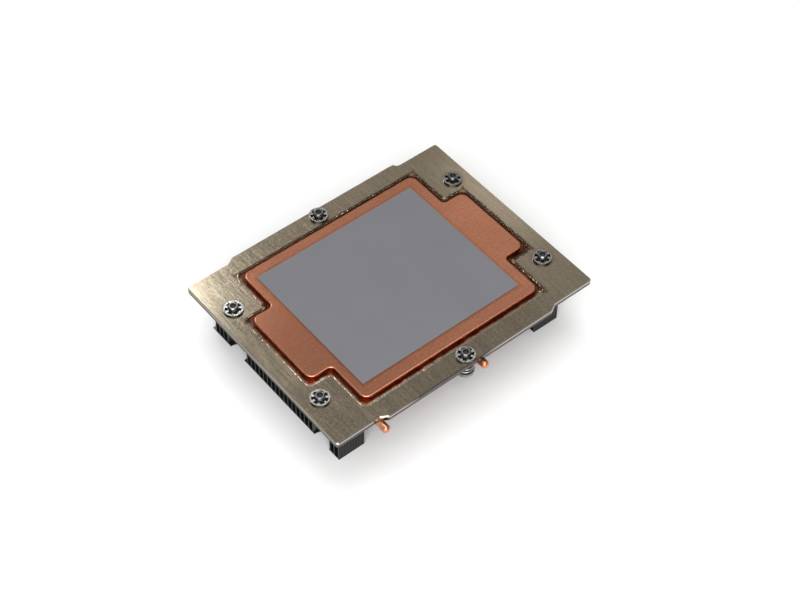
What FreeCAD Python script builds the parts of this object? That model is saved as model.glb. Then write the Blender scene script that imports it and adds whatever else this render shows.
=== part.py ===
# Passive CPU heatsink for a rack server, lying on its fins with the contact face up.
# Units: millimetres.  +X long side, +Y short side, +Z from the fins to the contact face.
# Origin: middle of the underside of the fin stack.
import FreeCAD, Part
import Sketcher
import math
import os

V = FreeCAD.Vector
doc = FreeCAD.newDocument("passive_heatsink")

# ---------------------------------------------------------------- driving dimensions
sheet = doc.addObject("Spreadsheet::Sheet", "Sizes")
SIZES = [
    # frame plate
    ("plate_len", 118.0), ("ear_wid", 90.0), ("plate_wid", 93.6), ("plate_thk", 2.2),
    ("step_in", 37.5), ("step_out", 40.5), ("plate_top", 25.5), ("corner_rad", 1.2),
    ("edge_bevel", 0.35), ("shank_hole_rad", 2.5),
    # copper base and its opening in the plate
    ("base_len", 80.4), ("base_wid", 73.1), ("tab_len", 99.5), ("tab_wid", 35.2),
    ("base_step", 2.1), ("step_thk", 1.4), ("base_thk", 3.3), ("base_round", 3.0), ("base_nook", 1.8),
    ("base_gap", 0.1), ("base_bevel", 0.35), ("opening_bevel", 0.12),
    # thermal pad
    ("pad_len", 72.2), ("pad_wid", 62.8), ("pad_thk", 0.25), ("pad_off_x", -0.6), ("pad_off_y", 0.5),
    # fin stack
    ("fin_len", 104.0), ("fin_pitch", 2.5), ("fin_thk", 0.4), ("fin_first", -30.9), ("fin_short", 11.5),
    ("well_rad", 4.3),
    # heat pipes
    ("pipe_wid", 7.4), ("pipe_high", 4.0), ("pipe_out_x", 40.0), ("pipe_mid_x", 4.95),
    ("pipe_flat", 33.5), ("pipe_neck", 38.6), ("pipe_tip", 49.1), ("tip_dia", 3.2), ("pipe_fit", 0.05),
    # captive screws
    ("screw_gap_x", 103.4), ("screw_gap_y", 51.6), ("screw_mid_y", 43.0),
    ("shank_rad", 2.25), ("head_rad", 3.4), ("head_low", 16.2), ("head_high", 2.4),
    ("thread_rad", 1.95), ("tip_above", 2.3), ("groove_rad", 1.6), ("clip_thk", 0.8), ("clip_play", 0.05),
    ("clip_out_rad", 3.7), ("clip_in_rad", 3.05), ("clip_bore_rad", 1.65), ("prong_wid", 0.95),
    ("cup_rad", 1.2), ("cup_deep", 0.9), ("socket_rad", 1.35), ("lobe_rad", 0.5), ("lobe_at", 1.45), ("socket_deep", 1.5),
    ("tip_bevel", 0.4),
    # springs
    ("wire_dia", 0.6), ("coil_rad", 2.85), ("coil_turns", 4.0),
]
for row, (alias, value) in enumerate(SIZES, 1):
    sheet.set("A%d" % row, alias)
    sheet.set("B%d" % row, repr(value))
    sheet.setAlias("B%d" % row, alias)
doc.recompute()
S = dict(SIZES)


def ev(expression):
    """Value of an expression in the sheet's names, for the starting shape of a sketch."""
    text = expression.replace("Sizes.", "")
    tokens, word, total = [], "", None
    for ch in text + " ":
        if ch.isalnum() or ch in "_.":
            word += ch
        else:
            if word:
                tokens.append(S[word] if word in S else float(word))
                word = ""
            if ch in "+-*/()":
                tokens.append(ch)

    def atom():
        t = tokens.pop(0)
        if t == "(":
            r = expr()
            tokens.pop(0)
            return r
        if t == "-":
            return -atom()
        return t

    def term():
        r = atom()
        while tokens and tokens[0] in ("*", "/"):
            r = r * atom() if tokens.pop(0) == "*" else r / atom()
        return r

    def expr():
        r = term()
        while tokens and tokens[0] in ("+", "-"):
            r = r + term() if tokens.pop(0) == "+" else r - term()
        return r

    total = expr()
    return float(total)


def new_body(name):
    body = doc.addObject("PartDesign::Body", name)
    body.Label = name
    return body


def origin_plane(body, role):
    return [f for f in body.Origin.OriginFeatures if f.Role == role][0]


def new_sketch(body, name, role, lift=None):
    """A sketch on one of the body's own planes; lift moves it along the plane's normal."""
    sk = body.newObject("Sketcher::SketchObject", name)
    sk.AttachmentSupport = [(origin_plane(body, role), "")]
    sk.MapMode = "FlatFace"
    if lift:
        sk.AttachmentOffset = FreeCAD.Placement(V(0, 0, ev(lift)), FreeCAD.Rotation())
        sk.setExpression("AttachmentOffset.Base.z", lift)
    return sk


COUNT = [0]


def dim(sk, kind, *args):
    """Adds one driving dimension bound to an expression of the sheet."""
    expression = args[-1]
    COUNT[0] += 1
    k = sk.addConstraint(Sketcher.Constraint(kind, *args[:-1], ev(expression)))
    sk.renameConstraint(k, "d%d" % COUNT[0])
    sk.setExpression("Constraints.d%d" % COUNT[0], expression)


def at(sk, geo, pos, ex, ey):
    """Fixes a point of the sketch at (ex, ey); None puts it on the axis."""
    if ex is None:
        sk.addConstraint(Sketcher.Constraint("PointOnObject", geo, pos, -2))
    else:
        dim(sk, "DistanceX", -1, 1, geo, pos, ex)
    if ey is None:
        sk.addConstraint(Sketcher.Constraint("PointOnObject", geo, pos, -1))
    else:
        dim(sk, "DistanceY", -1, 1, geo, pos, ey)


def polygon(sk, corners):
    """Closed outline through the corners, each a pair of expressions."""
    pts = [(0.0 if a is None else ev(a), 0.0 if b is None else ev(b)) for a, b in corners]
    n = len(pts)
    first = sk.GeometryCount
    for i in range(n):
        a, b = pts[i], pts[(i + 1) % n]
        sk.addGeometry(Part.LineSegment(V(a[0], a[1], 0), V(b[0], b[1], 0)), False)
    for i in range(n):
        sk.addConstraint(Sketcher.Constraint("Coincident", first + i, 2, first + (i + 1) % n, 1))
    for i, (a, b) in enumerate(corners):
        at(sk, first + i, 1, a, b)


def circle(sk, ex, ey, er):
    g = sk.addGeometry(
        Part.Circle(V(0 if ex is None else ev(ex), 0 if ey is None else ev(ey), 0), V(0, 0, 1), ev(er)), False
    )
    dim(sk, "Radius", g, er)
    if ex is None and ey is None:
        sk.addConstraint(Sketcher.Constraint("Coincident", g, 3, -1, 1))
    else:
        at(sk, g, 3, ex, ey)


def stadium(sk, ex, ey, ewid, ehigh, open_top=None):
    """A flat-sided oval of width ewid and height ehigh about (ex, ey).
    With open_top its sides run straight up to that height instead of closing over."""
    cx = 0.0 if ex is None else ev(ex)
    cy, w, h = ev(ey), ev(ewid), ev(ehigh)
    r = h / 2.0
    s = w / 2.0 - r
    f = sk.GeometryCount
    half = "(%s)/2" % ehigh
    run = "(%s)/2-(%s)/2" % (ewid, ehigh)
    xm = "-(%s)" % run if ex is None else "%s-(%s)" % (ex, run)
    xp = "%s" % run if ex is None else "%s+(%s)" % (ex, run)
    if open_top is None:
        sk.addGeometry(Part.LineSegment(V(cx - s, cy - r, 0), V(cx + s, cy - r, 0)), False)
        sk.addGeometry(
            Part.ArcOfCircle(Part.Circle(V(cx + s, cy, 0), V(0, 0, 1), r), -math.pi / 2, math.pi / 2), False
        )
        sk.addGeometry(Part.LineSegment(V(cx + s, cy + r, 0), V(cx - s, cy + r, 0)), False)
        sk.addGeometry(
            Part.ArcOfCircle(Part.Circle(V(cx - s, cy, 0), V(0, 0, 1), r), math.pi / 2, 3 * math.pi / 2), False
        )
        for a, b in ((0, 1), (1, 2), (2, 3), (3, 0)):
            sk.addConstraint(Sketcher.Constraint("Tangent", f + a, 2, f + b, 1))
        dim(sk, "Radius", f + 1, half)
        dim(sk, "Radius", f + 3, half)
        at(sk, f + 1, 3, xp, ey)
        dim(sk, "DistanceX", -1, 1, f + 3, 3, xm)
        return
    top = ev(open_top)
    sk.addGeometry(Part.LineSegment(V(cx - s - r, top, 0), V(cx - s - r, cy, 0)), False)
    sk.addGeometry(Part.ArcOfCircle(Part.Circle(V(cx - s, cy, 0), V(0, 0, 1), r), math.pi, 3 * math.pi / 2), False)
    sk.addGeometry(Part.LineSegment(V(cx - s, cy - r, 0), V(cx + s, cy - r, 0)), False)
    sk.addGeometry(Part.ArcOfCircle(Part.Circle(V(cx + s, cy, 0), V(0, 0, 1), r), 3 * math.pi / 2, 2 * math.pi), False)
    sk.addGeometry(Part.LineSegment(V(cx + s + r, cy, 0), V(cx + s + r, top, 0)), False)
    sk.addGeometry(Part.LineSegment(V(cx + s + r, top, 0), V(cx - s - r, top, 0)), False)
    for a, b in ((0, 1), (1, 2), (2, 3), (3, 4)):
        sk.addConstraint(Sketcher.Constraint("Tangent", f + a, 2, f + b, 1))
    sk.addConstraint(Sketcher.Constraint("Coincident", f + 4, 2, f + 5, 1))
    sk.addConstraint(Sketcher.Constraint("Coincident", f + 5, 2, f + 0, 1))
    sk.addConstraint(Sketcher.Constraint("Vertical", f + 0))
    sk.addConstraint(Sketcher.Constraint("Vertical", f + 4))
    dim(sk, "Radius", f + 1, half)
    dim(sk, "Radius", f + 3, half)
    dim(sk, "DistanceX", -1, 1, f + 1, 3, xm)
    at(sk, f + 3, 3, xp, ey)
    sk.addConstraint(Sketcher.Constraint("Horizontal", f + 5))
    dim(sk, "DistanceY", -1, 1, f + 5, 1, open_top)


def pad(body, sk, length, name, midplane=False, reverse=False):
    p = body.newObject("PartDesign::Pad", name)
    p.Profile = sk
    p.Length = ev(length)
    p.setExpression("Length", length)
    if midplane:
        p.Midplane = True
    p.Reversed = reverse
    return p


def pocket(body, sk, name, length=None, reverse=False, both=False):
    p = body.newObject("PartDesign::Pocket", name)
    p.Profile = sk
    if length is None:
        p.Type = "ThroughAll"
        if both:
            p.Midplane = True
    else:
        p.Length = ev(length)
        p.setExpression("Length", length)
    p.Reversed = reverse
    return p


def edges_where(shape, test):
    """Names of the edges whose middle point and direction pass the test."""
    names = []
    for i, e in enumerate(shape.Edges, 1):
        a, b = e.ParameterRange
        m = e.valueAt((a + b) / 2)
        d = e.tangentAt((a + b) / 2)
        if test(e, m, d):
            names.append("Edge%d" % i)
    return names


def dress(body, kind, name, base, names, value, prop="Radius"):
    f = body.newObject("PartDesign::" + kind, name)
    f.Base = (base, names)
    if kind == "Chamfer":
        f.Size = ev(value)
        f.setExpression("Size", value)
    else:
        f.Radius = ev(value)
        f.setExpression("Radius", value)
    doc.recompute()
    return f


def upright(e, m, d):
    return abs(d.z) > 0.999


parts = []  # (body, node name)
CUTS = []  # (what is cut, volume taken away, volume expected or None)

# ---------------------------------------------------------------- frame plate
plate = new_body("frame_plate")
sk = new_sketch(plate, "plate_outline", "XY_Plane", "Sizes.plate_top-Sizes.plate_thk")
hl, we, wp = "Sizes.plate_len/2", "Sizes.ear_wid/2", "Sizes.plate_wid/2"
si, so = "Sizes.step_in", "Sizes.step_out"
polygon(sk, [
    ("-" + hl, "-" + we), ("-" + so, "-" + we), ("-" + si, "-" + wp), (si, "-" + wp), (so, "-" + we), (hl, "-" + we),
    (hl, we), (so, we), (si, wp), ("-" + si, wp), ("-" + so, we), ("-" + hl, we),
])
feat = pad(plate, sk, "Sizes.plate_thk", "plate_pad")
doc.recompute()
names = edges_where(plate.Shape, lambda e, m, d: upright(e, m, d) and abs(abs(m.x) - ev(hl)) < 0.01)
feat = dress(plate, "Fillet", "plate_corners", feat, names, "Sizes.corner_rad")
names = edges_where(plate.Shape, lambda e, m, d: upright(e, m, d) and ev(si) - 0.01 < abs(m.x) < ev(so) + 0.01)
feat = dress(plate, "Fillet", "plate_steps", feat, names, "Sizes.corner_rad")
top = ev("Sizes.plate_top")
names = edges_where(plate.Shape, lambda e, m, d: abs(m.z - top) < 0.001 and abs(d.z) < 0.001)
feat = dress(plate, "Chamfer", "plate_bevel", feat, names, "Sizes.edge_bevel")

# the opening that the copper base stands in
sk = new_sketch(plate, "base_opening", "XY_Plane", "Sizes.plate_top-Sizes.plate_thk")
bl, bw = "Sizes.base_len/2+Sizes.base_step+Sizes.base_gap", "Sizes.base_wid/2+Sizes.base_step+Sizes.base_gap"
tl, tw = "Sizes.tab_len/2+Sizes.base_step+Sizes.base_gap", "Sizes.tab_wid/2+Sizes.base_step+Sizes.base_gap"


def cross_outline(bl, bw, tl, tw):
    n = lambda s: "-(%s)" % s
    return [
        (n(bl), n(bw)), (bl, n(bw)), (bl, n(tw)), (tl, n(tw)), (tl, tw), (bl, tw),
        (bl, bw), (n(bl), bw), (n(bl), tw), (n(tl), tw), (n(tl), n(tw)), (n(bl), n(tw)),
    ]


polygon(sk, cross_outline(bl, bw, tl, tw))
before = plate.Shape.Volume
feat = pocket(plate, sk, "opening_cut", "Sizes.plate_thk", reverse=True)
doc.recompute()
opening = 4 * (ev(bl) * ev(bw) + (ev(tl) - ev(bl)) * ev(tw)) * S["plate_thk"]
CUTS.append(("base opening", before - plate.Shape.Volume, opening))


def cross_corners(xs, ys):
    return lambda e, m, d: upright(e, m, d) and any(
        abs(abs(m.x) - x) < 0.01 and abs(abs(m.y) - y) < 0.01 for x, y in zip(xs, ys)
    )


def round_cross(body, name, base, bl, bw, tl, tw, extra=""):
    """Rounds the outer corners and the nooks of a cross-shaped outline."""
    xs, ys = [ev(bl), ev(tl)], [ev(bw), ev(tw)]
    names = edges_where(body.Shape, lambda e, m, d: cross_corners(xs, ys)(e, m, d) and extra_ok(extra, m))
    f = dress(body, "Fillet", name + "_corners", base, names, "Sizes.base_round")
    names = edges_where(body.Shape, lambda e, m, d: cross_corners([ev(bl)], [ev(tw)])(e, m, d) and extra_ok(extra, m))
    return dress(body, "Fillet", name + "_nooks", f, names, "Sizes.base_nook")


def extra_ok(extra, m):
    return not extra or m.z > ev(extra)


feat = round_cross(plate, "opening", feat, bl, bw, tl, tw)
top = ev("Sizes.plate_top")
names = edges_where(plate.Shape, lambda e, m, d: abs(m.z - top) < 0.001 and abs(d.z) < 0.001
                    and abs(m.x) < ev(tl) + 0.05 and abs(m.y) < ev(bw) + 0.05)
feat = dress(plate, "Chamfer", "opening_bevel", feat, names, "Sizes.opening_bevel")

# six holes for the captive screws
sk = new_sketch(plate, "screw_holes", "XY_Plane", "Sizes.plate_top-Sizes.plate_thk")
sx, sy, sm = "Sizes.screw_gap_x/2", "Sizes.screw_gap_y/2", "Sizes.screw_mid_y"
for ex, ey in ((sx, sy), ("-" + sx, sy), ("-" + sx, "-" + sy), (sx, "-" + sy), (None, sm), (None, "-" + sm)):
    circle(sk, ex, ey, "Sizes.shank_hole_rad")
before = plate.Shape.Volume
feat = pocket(plate, sk, "screw_holes_cut", "Sizes.plate_thk", reverse=True)
doc.recompute()
CUTS.append(("screw holes", before - plate.Shape.Volume, 6 * math.pi * S["shank_hole_rad"] ** 2 * S["plate_thk"]))
parts.append((plate, "frame_plate"))

# ---------------------------------------------------------------- copper base
base = new_body("copper_base")
# a low step fills the plate's opening; the contact block stands on it
bl, bw = "Sizes.base_len/2+Sizes.base_step", "Sizes.base_wid/2+Sizes.base_step"
tl, tw = "Sizes.tab_len/2+Sizes.base_step", "Sizes.tab_wid/2+Sizes.base_step"
sk = new_sketch(base, "step_outline", "XY_Plane", "Sizes.plate_top-Sizes.plate_thk")
polygon(sk, cross_outline(bl, bw, tl, tw))
feat = pad(base, sk, "Sizes.step_thk", "step_pad")
doc.recompute()
feat = round_cross(base, "step", feat, bl, bw, tl, tw)
bl, bw, tl, tw = "Sizes.base_len/2", "Sizes.base_wid/2", "Sizes.tab_len/2", "Sizes.tab_wid/2"
step_top = "Sizes.plate_top-Sizes.plate_thk+Sizes.step_thk"
sk = new_sketch(base, "block_outline", "XY_Plane", step_top)
polygon(sk, cross_outline(bl, bw, tl, tw))
feat = pad(base, sk, "Sizes.base_thk-Sizes.step_thk", "block_pad")
doc.recompute()
feat = round_cross(base, "block", feat, bl, bw, tl, tw, extra=step_top)
top = ev("Sizes.plate_top-Sizes.plate_thk+Sizes.base_thk")
names = edges_where(base.Shape, lambda e, m, d: abs(m.z - top) < 0.001 and abs(d.z) < 0.001)
feat = dress(base, "Fillet", "base_edge", feat, names, "Sizes.base_bevel")
parts.append((base, "copper_base"))

# ---------------------------------------------------------------- thermal pad
tim = new_body("thermal_pad")
sk = new_sketch(tim, "pad_outline", "XY_Plane", "Sizes.plate_top-Sizes.plate_thk+Sizes.base_thk")
px, py = "Sizes.pad_len/2", "Sizes.pad_wid/2"
ox, oy = "Sizes.pad_off_x", "Sizes.pad_off_y"
polygon(sk, [
    ("%s-%s" % (ox, px), "%s-%s" % (oy, py)), ("%s+%s" % (ox, px), "%s-%s" % (oy, py)),
    ("%s+%s" % (ox, px), "%s+%s" % (oy, py)), ("%s-%s" % (ox, px), "%s+%s" % (oy, py)),
])
pad(tim, sk, "Sizes.pad_thk", "pad_sheet")
parts.append((tim, "thermal_pad"))

# ---------------------------------------------------------------- heat pipes
# Flattened pipes on the underside of the copper base, across the fins.  Each has one blunt end
# inside the stack and one necked, sealed end that looks out past the long edge of the plate.
pipe_z = "Sizes.plate_top-Sizes.plate_thk-Sizes.pipe_high/2"


def heat_pipe(name, ex, turned):
    body = new_body(name)
    # the oval runs along local +Y; the XZ plane's normal is -Y, so lifts are negative
    sk = new_sketch(body, name + "_oval", "XZ_Plane", "Sizes.pipe_flat")
    stadium(sk, None, pipe_z, "Sizes.pipe_wid", "Sizes.pipe_high")
    p = pad(body, sk, "2*Sizes.pipe_flat", name + "_run", reverse=True)
    doc.recompute()
    b = body.Shape.BoundBox
    # the blunt end is the one at local +Y, the neck starts at local -Y
    end_y = ev("Sizes.pipe_flat")
    names = edges_where(body.Shape, lambda e, m, d: abs(m.y - end_y) < 0.001 and abs(d.y) < 0.001)
    dress(body, "Fillet", name + "_blunt", p, names, "Sizes.pipe_high/2-0.4")
    stations = [("Sizes.pipe_flat", "Sizes.pipe_wid", "Sizes.pipe_high"),
                ("Sizes.pipe_neck", "Sizes.tip_dia+0.06", "Sizes.tip_dia"),
                ("Sizes.pipe_tip-1.2", "Sizes.tip_dia-0.14", "Sizes.tip_dia-0.2")]
    last = None
    for k in range(2):
        sks = []
        for j in (k, k + 1):
            s2 = new_sketch(body, "%s_sec%d%d" % (name, k, j), "XZ_Plane", stations[j][0])
            stadium(s2, None, pipe_z, stations[j][1], stations[j][2])
            sks.append(s2)
        loft = body.newObject("PartDesign::AdditiveLoft", "%s_loft%d" % (name, k))
        loft.Profile = sks[0]
        loft.Sections = [sks[1]]
        loft.Ruled = True
        doc.recompute()
        last = loft
    s3 = new_sketch(body, name + "_nose", "XZ_Plane", "Sizes.pipe_tip-1.2")
    stadium(s3, None, pipe_z, "Sizes.tip_dia-0.14", "Sizes.tip_dia-0.2")
    p3 = pad(body, s3, "1.2", name + "_nose_pad")
    doc.recompute()
    low = -ev("Sizes.pipe_tip")
    names = edges_where(body.Shape, lambda e, m, d: abs(m.y - low) < 0.001 and abs(d.y) < 0.001)
    dress(body, "Fillet", name + "_nose_round", p3, names, "1.15")
    rot = FreeCAD.Rotation(V(0, 0, 1), 180 if turned else 0)
    body.Placement = FreeCAD.Placement(V(ev(ex), 0, 0), rot)
    body.setExpression("Placement.Base.x", ex)
    parts.append((body, name))
    return body


heat_pipe("heat_pipe_1", "-Sizes.pipe_out_x", False)
heat_pipe("heat_pipe_2", "-Sizes.pipe_mid_x", True)
heat_pipe("heat_pipe_3", "Sizes.pipe_mid_x", False)
heat_pipe("heat_pipe_4", "Sizes.pipe_out_x", True)

# ---------------------------------------------------------------- fin stack
# Each fin is a folded sheet: an upright web with a flange along its top and one along its foot.
# The flanges reach the next fin, so the foot of the stack is closed.  Slots take the pipes and
# a round well at each corner screw lets the screw head and a driver through.  The outermost rows,
# two at the near long side and one at the far one, stand only at the ends of the stack, clear of
# the pipe ends and the middle screws.
FINS = 34
SHORT = 2  # rows at the near side that stand only at the ends of the stack, two fins to a row
FAR = 1    # the same at the far side
plate_low = "Sizes.plate_top-Sizes.plate_thk"
for i in range(FINS):
    name = "fin_%02d" % (i + 1)
    near, far = i < 2 * SHORT, i >= FINS - 2 * FAR
    short = near or far
    row = i - 2 * SHORT
    if near:
        row = i // 2 - SHORT
    elif far:
        row = FINS - 2 * SHORT - 2 * FAR + (i - FINS + 2 * FAR) // 2
    y0 = "Sizes.fin_first%s%d*Sizes.fin_pitch" % ("-" if row < 0 else "+", abs(row))
    body = new_body(name)
    lift = None
    if short:
        lift = "-Sizes.fin_len/2" if i % 2 == 0 else "Sizes.fin_len/2-Sizes.fin_short"
    sk = new_sketch(body, name + "_section", "YZ_Plane", lift)
    t, q, z1 = "Sizes.fin_thk", "Sizes.fin_pitch", plate_low
    polygon(sk, [
        (None, None), (q, None), (q, t), (t, t), (t, "%s-%s" % (z1, t)), (q, "%s-%s" % (z1, t)), (q, z1), (None, z1),
    ])
    pad(body, sk, "Sizes.fin_short" if short else "Sizes.fin_len", name + "_sheet", midplane=not short)
    doc.recompute()
    v0 = body.Shape.Volume
    sk = new_sketch(body, name + "_slots", "XZ_Plane")
    for ex in ("-Sizes.pipe_out_x", "-Sizes.pipe_mid_x", "Sizes.pipe_mid_x", "Sizes.pipe_out_x"):
        stadium(sk, ex, pipe_z, "Sizes.pipe_wid+2*Sizes.pipe_fit", "Sizes.pipe_high+2*Sizes.pipe_fit",
                open_top="Sizes.plate_top")
    pocket(body, sk, name + "_slots_cut", both=True)
    doc.recompute()
    v1 = body.Shape.Volume
    CUTS.append((name + " slots", v0 - v1, None))
    y = ev(y0)
    for side in (1, -1):
        c = side * S["screw_gap_y"] / 2
        if y + S["fin_pitch"] <= c - S["well_rad"] or y >= c + S["well_rad"]:
            continue
        sk = new_sketch(body, name + "_wells" + ("_a" if side > 0 else "_b"), "XY_Plane")
        cy = "%sSizes.screw_gap_y/2-(%s)" % ("" if side > 0 else "-", y0)
        for sgn in (1, -1):
            pre = "" if sgn > 0 else "-"
            f = sk.GeometryCount
            cx0, cy0, r0 = sgn * S["screw_gap_x"] / 2, ev(cy), S["well_rad"]
            out = sgn * (S["fin_len"] / 2 + 3)
            a0, a1 = (math.pi / 2, 3 * math.pi / 2) if sgn > 0 else (-math.pi / 2, math.pi / 2)
            sk.addGeometry(Part.ArcOfCircle(Part.Circle(V(cx0, cy0, 0), V(0, 0, 1), r0), a0, a1), False)
            lo, hi = (2, 1) if sgn > 0 else (1, 2)  # which end of the arc is at the low y
            sk.addGeometry(Part.LineSegment(V(cx0, cy0 - r0, 0), V(out, cy0 - r0, 0)), False)
            sk.addGeometry(Part.LineSegment(V(out, cy0 - r0, 0), V(out, cy0 + r0, 0)), False)
            sk.addGeometry(Part.LineSegment(V(out, cy0 + r0, 0), V(cx0, cy0 + r0, 0)), False)
            sk.addConstraint(Sketcher.Constraint("Tangent", f, lo, f + 1, 1))
            sk.addConstraint(Sketcher.Constraint("Coincident", f + 1, 2, f + 2, 1))
            sk.addConstraint(Sketcher.Constraint("Coincident", f + 2, 2, f + 3, 1))
            sk.addConstraint(Sketcher.Constraint("Tangent", f + 3, 2, f, hi))
            sk.addConstraint(Sketcher.Constraint("Horizontal", f + 1))
            sk.addConstraint(Sketcher.Constraint("Horizontal", f + 3))
            sk.addConstraint(Sketcher.Constraint("Vertical", f + 2))
            dim(sk, "Radius", f, "Sizes.well_rad")
            at(sk, f, 3, pre + "Sizes.screw_gap_x/2", cy)
            dim(sk, "DistanceX", -1, 1, f + 2, 1, "%s(Sizes.fin_len/2+3)" % pre)
        pocket(body, sk, name + "_wells_cut" + ("_a" if side > 0 else "_b"), both=True)
        doc.recompute()
        CUTS.append((name + " wells", v1 - body.Shape.Volume, None))
        v1 = body.Shape.Volume
    body.Placement = FreeCAD.Placement(V(0, y, 0), FreeCAD.Rotation())
    body.setExpression("Placement.Base.y", y0)
    parts.append((body, name))

# ---------------------------------------------------------------- captive screws, clips and springs
SCREWS = [
    ("Sizes.screw_gap_x/2", "Sizes.screw_gap_y/2", 200),
    (None, "Sizes.screw_mid_y", 130),
    ("-Sizes.screw_gap_x/2", "Sizes.screw_gap_y/2", 75),
    ("-Sizes.screw_gap_x/2", "-Sizes.screw_gap_y/2", 20),
    (None, "-Sizes.screw_mid_y", 300),
    ("Sizes.screw_gap_x/2", "-Sizes.screw_gap_y/2", 255),
]


def place(body, ex, ey, turn):
    body.Placement = FreeCAD.Placement(V(0 if ex is None else ev(ex), ev(ey), 0), FreeCAD.Rotation(V(0, 0, 1), turn))
    if ex is not None:
        body.setExpression("Placement.Base.x", ex)
    body.setExpression("Placement.Base.y", ey)


top = "Sizes.plate_top"
play = "Sizes.clip_play"
for n, (ex, ey, turn) in enumerate(SCREWS, 1):
    # shoulder screw: pan head at the fin side, thread end above the plate
    name = "captive_screw_%d" % n
    body = new_body(name)
    sk = new_sketch(body, name + "_profile", "XZ_Plane")
    head_top = "Sizes.head_low+Sizes.head_high"
    polygon(sk, [
        (None, "Sizes.head_low"),
        ("Sizes.head_rad-0.7", "Sizes.head_low"),
        ("Sizes.head_rad", "Sizes.head_low+0.7"),
        ("Sizes.head_rad", head_top),
        ("Sizes.shank_rad", head_top),
        ("Sizes.shank_rad", top + "-0.02"),
        ("Sizes.groove_rad", top + "-0.02"),
        ("Sizes.groove_rad", "%s+Sizes.clip_thk+2*%s" % (top, play)),
        ("Sizes.thread_rad", "%s+Sizes.clip_thk+2*%s" % (top, play)),
        ("Sizes.thread_rad", "%s+Sizes.tip_above-Sizes.tip_bevel" % top),
        ("Sizes.thread_rad-Sizes.tip_bevel", "%s+Sizes.tip_above" % top),
        ("Sizes.cup_rad", "%s+Sizes.tip_above" % top),
        ("Sizes.cup_rad-0.25", "%s+Sizes.tip_above-Sizes.cup_deep" % top),
        (None, "%s+Sizes.tip_above-Sizes.cup_deep" % top),
    ])
    rev = body.newObject("PartDesign::Revolution", name + "_turned")
    rev.Profile = sk
    rev.ReferenceAxis = (sk, ["V_Axis"])
    rev.Angle = 360
    doc.recompute()
    v0 = body.Shape.Volume
    # six-lobed driver socket in the head
    sk = new_sketch(body, name + "_socket", "XY_Plane", "Sizes.head_low")
    circle(sk, None, None, "Sizes.socket_rad")
    pocket(body, sk, name + "_socket_cut", "Sizes.socket_deep", reverse=True)
    doc.recompute()
    v1 = body.Shape.Volume
    sk = new_sketch(body, name + "_lobe", "XY_Plane", "Sizes.head_low")
    circle(sk, "Sizes.lobe_at", None, "Sizes.lobe_rad")
    lobe = pocket(body, sk, name + "_lobe_cut", "Sizes.socket_deep", reverse=True)
    doc.recompute()
    pat = body.newObject("PartDesign::PolarPattern", name + "_lobes")
    pat.Originals = [lobe]
    pat.Axis = (sk, ["N_Axis"])
    pat.Angle = 360
    pat.Occurrences = 6
    body.Tip = pat
    doc.recompute()
    CUTS.append((name + " socket", v0 - v1, None))
    CUTS.append((name + " lobes", v1 - body.Shape.Volume, None))
    place(body, ex, ey, turn)
    parts.append((body, name))

    # retaining clip: a push-on star ring whose seven teeth hold the screw's groove
    name = "retaining_clip_%d" % n
    body = new_body(name)
    sk = new_sketch(body, name + "_ring", "XY_Plane", "%s+%s" % (top, play))
    circle(sk, None, None, "Sizes.clip_out_rad")
    circle(sk, None, None, "Sizes.clip_in_rad")
    pad(body, sk, "Sizes.clip_thk-%s" % play, name + "_ring_pad")
    doc.recompute()
    sk = new_sketch(body, name + "_prong", "XY_Plane", "%s+%s" % (top, play))
    polygon(sk, [
        ("Sizes.groove_rad-0.6", "-Sizes.prong_wid/2"), ("Sizes.clip_in_rad+0.3", "-Sizes.prong_wid/2"),
        ("Sizes.clip_in_rad+0.3", "Sizes.prong_wid/2"), ("Sizes.groove_rad-0.6", "Sizes.prong_wid/2"),
    ])
    prong = pad(body, sk, "Sizes.clip_thk-%s" % play, name + "_prong_pad")
    doc.recompute()
    pat = body.newObject("PartDesign::PolarPattern", name + "_prongs")
    pat.Originals = [prong]
    pat.Axis = (sk, ["N_Axis"])
    pat.Angle = 360
    pat.Occurrences = 7
    body.Tip = pat
    doc.recompute()
    v0 = body.Shape.Volume
    sk = new_sketch(body, name + "_bore", "XY_Plane", "%s+%s" % (top, play))
    circle(sk, None, None, "Sizes.clip_bore_rad")
    pocket(body, sk, name + "_bore_cut", "Sizes.clip_thk", reverse=True)
    doc.recompute()
    CUTS.append((name + " bore", v0 - body.Shape.Volume, None))
    place(body, ex, ey, turn)
    parts.append((body, name))

# compression springs between screw head and plate: the first and last turn lie close, and
# both ends are ground flat
def coil_path(z0, z1):
    """Points of the wire's centre line from the head's face z0 to the plate's face z1."""
    wire, turns, step = S["wire_dia"], S["coil_turns"], 12
    za, zb = z0 + wire * 0.25, z1 - wire * 0.25
    rise = (zb - za - 2 * wire) / (turns - 2)
    n = int(turns * step)
    raw = []
    for i in range(n + 1):
        t = i / step
        raw.append(za + wire * t if t < 1 else zb - wire * (turns - t) if t > turns - 1 else za + wire + rise * (t - 1))
    pts = []
    for i in range(n + 1):
        k = min(2, i, n - i)
        z = sum(raw[i - k:i + k + 1]) / (2 * k + 1)
        w = 2 * math.pi * i / step
        pts.append(V(S["coil_rad"] * math.cos(w), S["coil_rad"] * math.sin(w), z))
    return pts


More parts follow.
